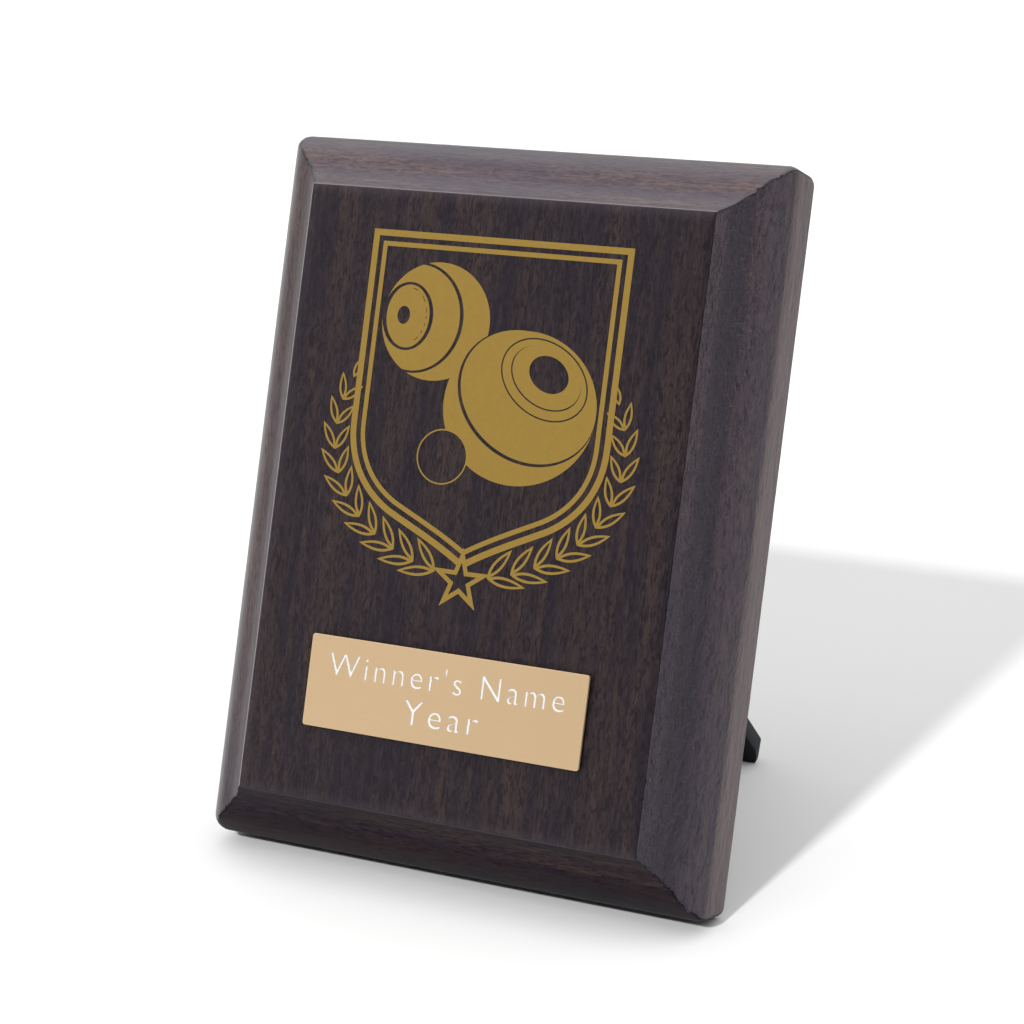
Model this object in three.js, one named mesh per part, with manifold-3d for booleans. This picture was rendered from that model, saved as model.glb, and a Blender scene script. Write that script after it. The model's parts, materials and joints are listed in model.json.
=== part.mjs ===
import * as THREE from 'three';
import { mergeVertices } from 'three/addons/utils/BufferGeometryUtils.js';
import Module from 'manifold-3d';

// A small award plaque: a moulded board wrapped in wood-grain foil, an engraving plate on its face
// and a hinged strut behind it. Millimetres, +Z up, the face looks towards -Y.
//
// The board is drawn upright: x to the right, y back from its face, z up from its middle. The strut
// is drawn folded flat, about its hinge pin. Two groups then lean the board and open the strut.

// Board
const boardWidth = 76.2;
const boardHeight = 101.6;
const coreThickness = 15;
const edgeRun = 8.1; // width of the moulded edge, seen from the front
const edgeDrop = 8.6; // how far the moulding falls back from the face
const edgeWave = 0.55; // 0 is a straight bevel, 1 a moulding with a level middle
const cornerRadius = 2.1;
const leanAngle = 17.4; // degrees from upright when it stands

// Foils and sheets
const foilThickness = 0.15;
const glueLine = 0.1;
const foilSeam = 0.05; // half the gap at a seam between two foils
const backSheetInset = 0.6;

// Engraving plate
const plateWidth = 41.6;
const plateHeight = 12.8;
const plateThickness = 0.5;
const plateCorner = 0.4;
const plateRise = 10.2; // from the lower edge of the face to the plate
const adhesiveThickness = 0.15;
const adhesiveInset = 0.6;

// Strut
const openAngle = 35; // degrees between board and leg when it stands
const legThickness = 3;
const legTopWidth = 24;
const footWidth = 49;
const flareHeight = 26; // lower part of the leg, which widens to the foot
const footSide = 2.6; // upright side of the foot, below the flare
const footRadius = 0.8;
const footBevel = 2.8; // the foot's end is slanted, longer at the front
const footLand = 0.4; // flat left at the front of the slanted end
const foldGap = 0.3; // between the folded leg and the back of the board

// Hinge
const pivotDrop = 11.8; // from the top edge of the board to the pin
const hingeWidth = 22;
const leafThickness = 0.8;
const boardLeafHeight = 9;
const legLeafLength = 14;
const middleKnuckle = 8;
const stopLipLength = 5;
const stopLipGap = 0.15;
const seatGap = 0.1; // under leaves, screw heads and rivet heads
const runningGap = 0.15; // round the pin and the shanks
const knuckleGap = 0.3; // between neighbouring knuckles

// Fasteners
const screwSpacing = 15;
const screwRise = 5.8; // from the pin up to the screws
const screwShank = 0.9;
const screwHead = 1.9;
const screwHeadHeight = 1;
const screwLength = 9;
const rivetSpacing = 12;
const rivetDrop = 9; // from the pin down to the rivets
const rivetShank = 1.1;
const rivetHead = 2.1;
const rivetHeadHeight = 0.8;
const rivetFlare = 0.7; // how much the closed end of a rivet spreads
const roundSides = 28;

// Worked out from the sizes above
const faceWidth = boardWidth - 2 * edgeRun;
const faceHeight = boardHeight - 2 * edgeRun;
const coreFront = foilThickness + glueLine;
const coreBack = coreFront + coreThickness;
const sheetFront = coreBack + glueLine;
const backPlane = sheetFront + foilThickness;
const knuckleRadius = (foldGap + legThickness + leafThickness) / 2;
const pinOffset = seatGap + knuckleRadius; // from the back plane to the pin
const pinRadius = knuckleRadius - leafThickness - runningGap;
const pinDepth = backPlane + pinOffset;
const pinHeight = boardHeight / 2 - pivotDrop;
const legFront = foldGap - pinOffset; // from the pin, towards the board
const legTop = knuckleRadius + 2 * knuckleGap;
const lean = THREE.MathUtils.degToRad(leanAngle);
const open = THREE.MathUtils.degToRad(openAngle);
const legLean = open - lean;
const floorLevel = -coreBack * Math.sin(lean) - (boardHeight / 2) * Math.cos(lean);
const pinAboveFloor = pinHeight * Math.cos(lean) - pinDepth * Math.sin(lean) - floorLevel;
const legLength = (pinAboveFloor + legFront * Math.sin(legLean)) / Math.cos(legLean);

const wasm = await Module();
wasm.setup();
const { Manifold, Mesh } = wasm;

function toSolid(geometry) {
  const bare = geometry.clone();
  bare.deleteAttribute('normal');
  bare.deleteAttribute('uv');
  const merged = mergeVertices(bare, 1e-5);
  return new Manifold(new Mesh({
    numProp: 3,
    vertProperties: new Float32Array(merged.attributes.position.array),
    triVerts: new Uint32Array(merged.index.array),
  }));
}

function toGeometry(solid) {
  const { vertProperties, triVerts } = solid.getMesh();
  const geometry = new THREE.BufferGeometry();
  geometry.setAttribute('position', new THREE.BufferAttribute(vertProperties, 3));
  geometry.setIndex(new THREE.BufferAttribute(triVerts, 1));
  geometry.computeVertexNormals();
  return geometry;
}

function addPiece(group, name, shape, material) {
  const geometry = shape instanceof Manifold ? toGeometry(shape) : shape;
  const piece = new THREE.Mesh(geometry, material);
  piece.name = name;
  group.add(piece);
}

function finish(color, roughness, metalness = 0) {
  return new THREE.MeshStandardMaterial({ color, roughness, metalness, flatShading: true });
}

// Outlines are drawn in the x-z plane and extruded in y.
function extrudeBack(outline, front, back) {
  const geometry = new THREE.ExtrudeGeometry(outline, {
    depth: back - front,
    bevelEnabled: false,
    curveSegments: 6,
  });
  return toSolid(geometry.rotateX(Math.PI / 2).translate(0, back, 0));
}

function polygon(points) {
  return new THREE.Shape(points.map(([x, z]) => new THREE.Vector2(x, z)));
}

function roundedRectangle(width, height, radius) {
  const [x, z] = [width / 2 - radius, height / 2 - radius];
  const outline = new THREE.Shape();
  outline.absarc(x, z, radius, 0, Math.PI / 2);
  outline.absarc(-x, z, radius, Math.PI / 2, Math.PI);
  outline.absarc(-x, -z, radius, Math.PI, 1.5 * Math.PI);
  outline.absarc(x, -z, radius, 1.5 * Math.PI, 2 * Math.PI);
  outline.closePath();
  return outline;
}

function slab(x0, x1, y0, y1, z0, z1) {
  return extrudeBack(polygon([[x0, z0], [x1, z0], [x1, z1], [x0, z1]]), y0, y1);
}

// A round bar from front to back, a cone where the radii differ.
function rod(x, z, front, back, frontRadius, backRadius = frontRadius) {
  const bar = new THREE.CylinderGeometry(backRadius, frontRadius, back - front, roundSides);
  return toSolid(bar.translate(x, (front + back) / 2, z));
}

// A round bar along the hinge pin.
function barrel(radius, x0, x1, y, z) {
  const bar = new THREE.CylinderGeometry(radius, radius, x1 - x0, roundSides);
  return toSolid(bar.rotateZ(Math.PI / 2).translate((x0 + x1) / 2, y, z));
}

// The moulded board, drawn in from its outer surface by inset on every side but the back.
function mouldedBoard(inset, back) {
  const steps = 14;
  const rings = [];
  for (let i = 0; i <= steps; i++) {
    const s = i / steps;
    const drop = edgeDrop * (s + (edgeWave * Math.sin(2 * Math.PI * s)) / (2 * Math.PI));
    rings.push([edgeRun * (1 - s) + inset, drop + inset]);
  }
  rings.push([inset, back]);
  const corners = rings.flatMap(([margin, depth]) => {
    const [x, z] = [boardWidth / 2 - margin, boardHeight / 2 - margin];
    return [-x, depth, -z, x, depth, -z, x, depth, z, -x, depth, z];
  });
  const triangles = [0, 1, 2, 0, 2, 3];
  for (let ring = 0; ring < rings.length - 1; ring++) {
    for (let side = 0; side < 4; side++) {
      const a = 4 * ring + side;
      const b = 4 * ring + ((side + 1) % 4);
      triangles.push(a, a + 4, b + 4, a, b + 4, b);
    }
  }
  const last = 4 * (rings.length - 1);
  triangles.push(last, last + 2, last + 1, last, last + 3, last + 2);
  const sharp = new Manifold(new Mesh({
    numProp: 3,
    vertProperties: new Float32Array(corners),
    triVerts: new Uint32Array(triangles),
  }));
  const width = boardWidth - 2 * inset;
  const height = boardHeight - 2 * inset;
  const rounded = roundedRectangle(width, height, cornerRadius - inset);
  return sharp.intersect(extrudeBack(rounded, 0, back));
}

function screwHoles(radius, front, back) {
  const holes = [-1, 1].map((side) => rod(
    (side * screwSpacing) / 2, pinHeight + screwRise, front, back, radius,
  ));
  return holes[0].add(holes[1]);
}

const screwTip = backPlane - screwLength;

function boardCore() {
  const holes = screwHoles(screwShank + runningGap, screwTip - runningGap, backPlane);
  return mouldedBoard(coreFront, coreBack).subtract(holes);
}

function faceLaminate() {
  const width = faceWidth - 2 * foilSeam;
  const height = faceHeight - 2 * foilSeam;
  return slab(-width / 2, width / 2, 0, foilThickness, -height / 2, height / 2);
}

// One edge's foil is the part of the foil shell between two mitres. The outline is that of the
// right edge, and the other edges turn or mirror it.
function edgeFoil(side) {
  const shell = mouldedBoard(0, coreBack).subtract(mouldedBoard(foilThickness, coreBack + 1));
  const upright = side === 'left' || side === 'right';
  const sign = side === 'right' || side === 'top' ? 1 : -1;
  const [across, along] = upright ? [faceWidth / 2, faceHeight / 2] : [faceHeight / 2, faceWidth / 2];
  const inner = foilSeam;
  const outer = edgeRun + 1;
  const wedge = [
    [across + inner, inner - along],
    [across + outer, -along - outer + 2 * foilSeam],
    [across + outer, along + outer - 2 * foilSeam],
    [across + inner, along - inner],
  ];
  const placed = wedge.map(([a, b]) => (upright ? [sign * a, b] : [b, sign * a]));
  const mirrored = upright === (sign < 0);
  const outline = polygon(mirrored ? placed.reverse() : placed);
  return shell.intersect(extrudeBack(outline, -1, coreBack + 1));
}

function backSheet() {
  const width = boardWidth - 2 * backSheetInset;
  const height = boardHeight - 2 * backSheetInset;
  const outline = roundedRectangle(width, height, cornerRadius - backSheetInset);
  const sheet = extrudeBack(outline, sheetFront, backPlane);
  return sheet.subtract(screwHoles(screwShank + runningGap, sheetFront - 1, backPlane + 1));
}

const plateMiddle = plateRise + plateHeight / 2 - faceHeight / 2;

function plateAdhesive() {
  const width = plateWidth / 2 - adhesiveInset;
  const height = plateHeight / 2 - adhesiveInset;
  const back = -glueLine;
  return slab(
    -width, width, back - adhesiveThickness, back, plateMiddle - height, plateMiddle + height,
  );
}

function engravingPlate() {
  const back = -adhesiveThickness - 2 * glueLine;
  const outline = roundedRectangle(plateWidth, plateHeight, plateCorner);
  return extrudeBack(outline, back - plateThickness, back).translate([0, 0, plateMiddle]);
}

// The board leaf is a plate above the pin that rolls into the two outer knuckles.
function hingeBoardLeaf() {
  const front = backPlane + seatGap;
  const back = front + leafThickness;
  const end = hingeWidth / 2;
  const inner = middleKnuckle / 2 + knuckleGap;
  const top = pinHeight + boardLeafHeight;
  let leaf = slab(-end, end, front, back, pinHeight, top);
  leaf = leaf.add(barrel(knuckleRadius, -end, end, pinDepth, pinHeight));
  const notchTop = pinHeight + knuckleRadius + knuckleGap;
  const notchBack = pinDepth + knuckleRadius + 1;
  leaf = leaf.subtract(slab(-inner, inner, front - 1, notchBack, pinHeight - 10, notchTop));
  leaf = leaf.subtract(barrel(pinRadius + runningGap, -end - 1, end + 1, pinDepth, pinHeight));
  return leaf.subtract(screwHoles(screwShank + runningGap, front - 1, back + 1));
}

function hingePin() {
  return barrel(pinRadius, -hingeWidth / 2, hingeWidth / 2, pinDepth, pinHeight);
}

// Lathe profiles run from front to back as [radius, depth] pairs.
function turned(profile, x, z) {
  const points = profile.map(([radius, depth]) => new THREE.Vector2(radius, depth));
  return new THREE.LatheGeometry(points, roundSides).translate(x, 0, z);
}

function hingeScrew(side) {
  const seat = backPlane + leafThickness + 2 * seatGap;
  const profile = [
    [0, screwTip],
    [screwShank, screwTip + 2 * screwShank],
    [screwShank, seat],
    [screwHead, seat],
    [screwHead, seat + 0.35 * screwHeadHeight],
    [0.8 * screwHead, seat + 0.8 * screwHeadHeight],
    [0.4 * screwHead, seat + screwHeadHeight],
    [0, seat + screwHeadHeight],
  ];
  return turned(profile, (side * screwSpacing) / 2, pinHeight + screwRise);
}

// The leg leaf rolls into the middle knuckle and goes on past it as the stop lip, which lies on
// the board leaf when the strut is open.
function hingeLegLeaf() {
  const end = hingeWidth / 2;
  const inner = middleKnuckle / 2;
  const back = knuckleRadius;
  const front = back - leafThickness;
  const clear = knuckleRadius + knuckleGap;
  let leaf = slab(-end, end, front, back, -legLeafLength, -clear);
  leaf = leaf.add(slab(-inner, inner, front, back, -clear - 1, 0));
  leaf = leaf.add(barrel(knuckleRadius, -inner, inner, 0, 0));
  const lipFront = leafThickness + stopLipGap - knuckleRadius;
  const lip = slab(-inner, inner, lipFront, lipFront + leafThickness, pinRadius, stopLipLength);
  leaf = leaf.add(lip.rotate([-openAngle, 0, 0]));
  leaf = leaf.subtract(barrel(pinRadius + runningGap, -inner - 1, inner + 1, 0, 0));
  for (const side of [-1, 1]) {
    const x = (side * rivetSpacing) / 2;
    leaf = leaf.subtract(rod(x, -rivetDrop, front - 1, back + 1, rivetShank + runningGap));
  }
  return leaf;
}

function strutLeg() {
  const top = legTopWidth / 2;
  const foot = footWidth / 2;
  const flareTop = flareHeight - legLength;
  const flareStart = flareTop + flareHeight / 2;
  const flareEnd = footSide - legLength;
  const outline = new THREE.Shape();
  outline.moveTo(footRadius - foot, -legLength);
  outline.lineTo(foot - footRadius, -legLength);
  outline.quadraticCurveTo(foot, -legLength, foot, footRadius - legLength);
  outline.lineTo(foot, flareEnd);
  outline.quadraticCurveTo(top, flareTop, top, flareStart);
  outline.lineTo(top, -legTop);
  outline.lineTo(-top, -legTop);
  outline.lineTo(-top, flareStart);
  outline.quadraticCurveTo(-top, flareTop, -foot, flareEnd);
  outline.lineTo(-foot, footRadius - legLength);
  outline.quadraticCurveTo(-foot, -legLength, footRadius - foot, -legLength);
  const back = legFront + legThickness;
  const slant = THREE.MathUtils.radToDeg(Math.atan2(footBevel, legThickness - footLand));
  const offcut = slab(-foot - 1, foot + 1, 0, 2 * legThickness, -legThickness, 0)
    .rotate([slant, 0, 0])
    .translate([0, legFront + footLand, -legLength]);
  let leg = extrudeBack(outline, legFront, back).subtract(offcut);
  for (const side of [-1, 1]) {
    const x = (side * rivetSpacing) / 2;
    const hole = rivetShank + runningGap;
    leg = leg.subtract(rod(x, -rivetDrop, legFront - 1, back + 1, hole));
    const mouth = hole + rivetFlare;
    leg = leg.subtract(rod(x, -rivetDrop, legFront - 1, legFront, mouth));
    leg = leg.subtract(rod(x, -rivetDrop, legFront, legFront + rivetFlare + seatGap, mouth, hole));
  }
  return leg;
}

// A rivet has a domed head on the leaf and a closed end that spreads into the leg's countersink.
function legRivet(side) {
  const tail = legFront + seatGap;
  const seat = knuckleRadius + seatGap;
  const profile = [
    [0, tail],
    [rivetShank + rivetFlare - seatGap, tail],
    [rivetShank, tail + rivetFlare - seatGap],
    [rivetShank, seat],
    [rivetHead, seat],
    [0.85 * rivetHead, seat + 0.5 * rivetHeadHeight],
    [0.5 * rivetHead, seat + 0.9 * rivetHeadHeight],
    [0, seat + rivetHeadHeight],
  ];
  return turned(profile, (side * rivetSpacing) / 2, -rivetDrop);
}

const walnut = finish(0x4a3d3e, 0.45);
const steel = finish(0xb9b6ae, 0.35, 1);

const board = new THREE.Group();
addPiece(board, 'board_core', boardCore(), finish(0xa98f6d, 0.8));
addPiece(board, 'face_laminate', faceLaminate(), walnut.clone());
for (const side of ['top', 'bottom', 'left', 'right']) {
  addPiece(board, `edge_foil_${side}`, edgeFoil(side), walnut.clone());
}
addPiece(board, 'back_sheet', backSheet(), finish(0x1d1b1b, 0.7));
addPiece(board, 'plate_adhesive', plateAdhesive(), finish(0xe8e4d8, 0.6));
addPiece(board, 'engraving_plate', engravingPlate(), finish(0xd6bb95, 0.3, 1));
addPiece(board, 'hinge_board_leaf', hingeBoardLeaf(), steel.clone());
addPiece(board, 'hinge_pin', hingePin(), steel.clone());
addPiece(board, 'hinge_screw_left', hingeScrew(-1), steel.clone());
addPiece(board, 'hinge_screw_right', hingeScrew(1), steel.clone());

const strut = new THREE.Group();
addPiece(strut, 'hinge_leg_leaf', hingeLegLeaf(), steel.clone());
addPiece(strut, 'strut_leg', strutLeg(), finish(0x1b1d20, 0.5));
addPiece(strut, 'leg_rivet_left', legRivet(-1), steel.clone());
addPiece(strut, 'leg_rivet_right', legRivet(1), steel.clone());
strut.position.set(0, pinDepth, pinHeight);
strut.rotation.x = open;
board.add(strut);
board.rotation.x = -lean;

// The plaque stands on z = 0, with the origin below the middle of its bounding box.
const group = new THREE.Group();
group.add(board);
const bounds = new THREE.Box3().setFromObject(group, true);
group.position.set(0, -(bounds.min.y + bounds.max.y) / 2, -bounds.min.z);

export default group;
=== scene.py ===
import json
import math
import bmesh
import bpy
from mathutils import Matrix, Vector, noise


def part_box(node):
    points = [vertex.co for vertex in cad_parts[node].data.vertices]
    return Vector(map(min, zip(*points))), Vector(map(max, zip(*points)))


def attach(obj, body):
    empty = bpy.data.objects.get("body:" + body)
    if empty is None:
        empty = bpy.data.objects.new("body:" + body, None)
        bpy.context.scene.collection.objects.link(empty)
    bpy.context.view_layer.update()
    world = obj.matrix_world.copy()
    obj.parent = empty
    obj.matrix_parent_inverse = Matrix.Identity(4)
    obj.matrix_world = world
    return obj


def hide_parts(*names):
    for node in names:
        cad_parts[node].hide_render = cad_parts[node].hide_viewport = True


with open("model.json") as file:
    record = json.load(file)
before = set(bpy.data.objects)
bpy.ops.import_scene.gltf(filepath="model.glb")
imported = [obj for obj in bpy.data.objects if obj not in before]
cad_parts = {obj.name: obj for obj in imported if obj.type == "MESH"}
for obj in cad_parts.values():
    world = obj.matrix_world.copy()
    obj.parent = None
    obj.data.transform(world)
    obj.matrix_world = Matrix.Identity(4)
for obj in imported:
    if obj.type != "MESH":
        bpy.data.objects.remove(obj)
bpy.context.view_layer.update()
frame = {"nodes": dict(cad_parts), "record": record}
nodes = frame["nodes"]
scene = bpy.context.scene
mm = 0.001
print("frame loaded:", len(nodes), "nodes")

# The board, in mm. Its frame runs x to the right, y back from the face, z up the face from its middle.
board = {
    "width": 76.2,
    "height": 101.6,
    "run": 8.1,          # width of the moulded edge seen from the front
    "drop": 8.6,         # how far it falls back
    "wave": 0.55,        # how strongly the moulding curls, 0 is a flat slope
    "wallEnd": 15.25,    # where the side walls stop
    "corners": {(-1, 1): 2.1, (1, 1): 1.9, (-1, -1): 2.5, (1, -1): 1.6},   # radius, by side and height
    "foil": 0.15,
    "seam": 0.05,        # half the gap between two foils
    "arris": 1.35,       # slope taken off the moulding at the edge of the face, to round it
    "arrisFade": 0.22,   # how soon that ends, across the moulding
    "round": 1.2,        # how far the turn from moulding to side wall is eased, each way
    "lump": 0.035,       # unevenness of the pressed foil
    "bunch": 3.5,        # length of a foil, next to a mitre, where it bunches
    "faceLump": 0.012,   # unevenness of the flat face
    "faceEase": 0.06,
    "step": 1.3,         # mesh step along an edge
    "ragged": 0.42,      # how unevenly the foils are trimmed at the mitres
    "raggedPitch": 0.8,
    "raggedFrom": 0.35,  # trimmed straight this near to the arris
    "raggedGrow": 0.8,   # from there it takes this much to become ragged
    "raggedFade": 1.2,   # and it is straight again at the side wall, after this much
}
faceWidth = board["width"] - 2 * board["run"]
faceHeight = board["height"] - 2 * board["run"]

mounts = {mount["name"]: mount for mount in frame["record"]["mounts"]}
boardBack = Vector(mounts["back_face"]["axis"]).normalized()
boardRight = Vector((1, 0, 0))
boardUp = boardRight.cross(boardBack)
faceLow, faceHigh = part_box("face_laminate")
faceMiddle = (faceLow + faceHigh) / 2 - boardBack * board["foil"] * mm / 2
axes = Matrix((boardRight, boardBack, boardUp)).transposed().to_4x4()
boardFrame = Matrix.Translation(faceMiddle) @ axes @ Matrix.Scale(mm, 4)
printFrame = boardFrame @ Matrix.Rotation(math.pi / 2, 4, "X")   # x right, y up, z out of the face


# Node graphs
class Value:
    # one output socket of a graph; an expression on it adds Math nodes

    def __init__(self, graph, socket):
        self.graph = graph
        self.socket = socket

    def math(self, operation, *others):
        sockets = dict(enumerate((self, *others)))
        return self.graph.node("ShaderNodeMath", {"operation": operation}, sockets)

    def __add__(self, other):
        return self.math("ADD", other)

    __radd__ = __add__

    def __mul__(self, other):
        return self.math("MULTIPLY", other)

    __rmul__ = __mul__

    def __sub__(self, other):
        return self.math("SUBTRACT", other)

    def __rsub__(self, other):
        return (self * -1).math("ADD", other)

    def __pow__(self, other):
        return self.math("POWER", other)

    def size(self):
        # without its sign
        return self.math("ABSOLUTE")

    def kept(self):
        # held between 0 and 1
        return self.graph.node("ShaderNodeClamp", {}, {0: self, 1: 0.0, 2: 1.0})


class Graph:
    def __init__(self, tree):
        self.tree = tree

    def node(self, kind, settings=None, inputs=None, output=0):
        made = self.tree.nodes.new(kind)
        for key, setting in (settings or {}).items():
            setattr(made, key, setting)
        for key, value in (inputs or {}).items():
            if isinstance(value, Value):
                self.tree.links.new(value.socket, made.inputs[key])
            else:
                made.inputs[key].default_value = value
        return Value(self, made.outputs[output])

    def parts(self, value):
        split = self.node("ShaderNodeSeparateXYZ", {}, {0: value})
        return [Value(self, socket) for socket in split.socket.node.outputs]

    def vector(self, x, y, z):
        return self.node("ShaderNodeCombineXYZ", {}, {0: x, 1: y, 2: z})

    def ramp(self, value, low, high):
        # 0 below low, 1 above high
        return self.node("ShaderNodeMapRange", {"interpolation_type": "SMOOTHSTEP"},
                         {0: value, 1: low, 2: high, 3: 0.0, 4: 1.0})


class Finish(Graph):
    # a material under construction

    def __init__(self, name):
        self.material = bpy.data.materials.new(name)
        self.material.use_nodes = True
        super().__init__(self.material.node_tree)
        self.tree.nodes.clear()

    def colour(self, red, green, blue):
        return (red, green, blue, 1)

    def mix(self, factor, low, high, blend="MIX"):
        return self.node("ShaderNodeMix", {"data_type": "RGBA", "blend_type": blend},
                         {0: factor, 6: low, 7: high}, 2)

    def mapOf(self, name):
        # the two directions of a map
        return self.parts(self.node("ShaderNodeUVMap", {"uv_map": name}))

    def place(self, scale=(1, 1, 1), shift=(0, 0, 0), flat=True):
        # flat reads the foil's own map in mm, the rest are in metres on the object
        if flat:
            where = self.node("ShaderNodeUVMap", {"uv_map": "foil"})
        else:
            where = self.node("ShaderNodeTexCoord", {}, {}, "Object")
        return self.node("ShaderNodeMapping", {}, {"Vector": where, "Scale": scale, "Location": shift})

    def noise(self, place, scale=1.0, detail=3.0, roughness=0.5, distortion=0.0):
        return self.node("ShaderNodeTexNoise", {}, {
            "Vector": place, "Scale": scale, "Detail": detail,
            "Roughness": roughness, "Distortion": distortion,
        })

    def bump(self, height, strength, distance):
        sockets = {"Strength": strength, "Distance": distance, "Height": height}
        return self.node("ShaderNodeBump", {}, sockets)

    def finish(self, **sockets):
        # Base_Color stands for the socket Base Color
        settings = {key.replace("_", " "): value for key, value in sockets.items()}
        shader = self.node("ShaderNodeBsdfPrincipled", {}, settings)
        out = self.tree.nodes.new("ShaderNodeOutputMaterial")
        self.tree.links.new(shader.socket, out.inputs["Surface"])
        return self.material


# Finishes
# Printed wood-grain foil. The map runs in mm, u along the grain and v across it.
foil = {
    "brown": (0.0400, 0.0240, 0.0195),
    "blue": (0.0115, 0.0084, 0.0150),
    "dark": (0.0030, 0.0021, 0.0035),
    "fleck": (0.056, 0.0385, 0.0340),
    # a pale colour painted along the arris as a highlight
    "arrisHighlight": (0.150, 0.132, 0.145),
    # a paler brown painted on the right side wall as light
    "wall": (0.076, 0.051, 0.047),
    "wallFrom": 11.0,    # across the foil, in mm, where the moulding turns into the side wall
    "wallTo": 12.5,
    "shadedFold": 11.2,        # where the moulding turns; painted shade runs along this line
    "bumpDepth": 0.00008,
}
# One foil for each side. The band is a darker strip along the moulding, in mm across it from the face:
# painted shade and painted reflection. Each side's tone is painted light: the top, left and right mouldings
# are painted lighter and the bottom darker, for how each side catches the light. Each side also sets how
# strong a painted highlight runs along its arris.
foilSides = {
    "face": {"tone": 0.54, "gloss": 0.42, "specular": 0.46, "lump": 0.5, "relief": 0.5, "flecks": 1.0,
             "sheen": (1.0, 0.87, 0.98, 1)},
    "top": {"tone": 1.55, "gloss": 0.36, "specular": 0.62, "lump": 2.2, "relief": 0.6, "flecks": 0.6,
            "bandFrom": 8.2, "bandTo": 9.4, "band": 0.25, "arrisHighlightAmount": 0.25, "sheen": (1.0, 0.86, 0.96, 1)},
    "bottom": {"tone": 0.80, "gloss": 0.55, "specular": 0.14, "lump": 1.6, "relief": 0.5, "flecks": 0.5,
               "bandFrom": 6.0, "bandTo": 11.0, "band": 0.5, "arrisHighlightAmount": 0.2, "sheen": (1.0, 0.80, 1.0, 1)},
    "left": {"tone": 1.35, "gloss": 0.34, "specular": 0.46, "lump": 1.8, "relief": 0.5, "flecks": 0.6,
             "bandFrom": 3.0, "bandTo": 5.5, "band": 0.3, "arrisHighlightAmount": 1.0, "sheen": (1.0, 0.88, 0.98, 1)},
    "right": {"tone": 1.30, "gloss": 0.34, "specular": 0.66, "lump": 7.0, "relief": 1.0, "flecks": 0.5,
              "bandFrom": 2.4, "bandTo": 6.0, "band": 0.8, "arrisHighlightAmount": 0.0, "sheen": (0.94, 0.87, 1.0, 1)},
}


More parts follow.
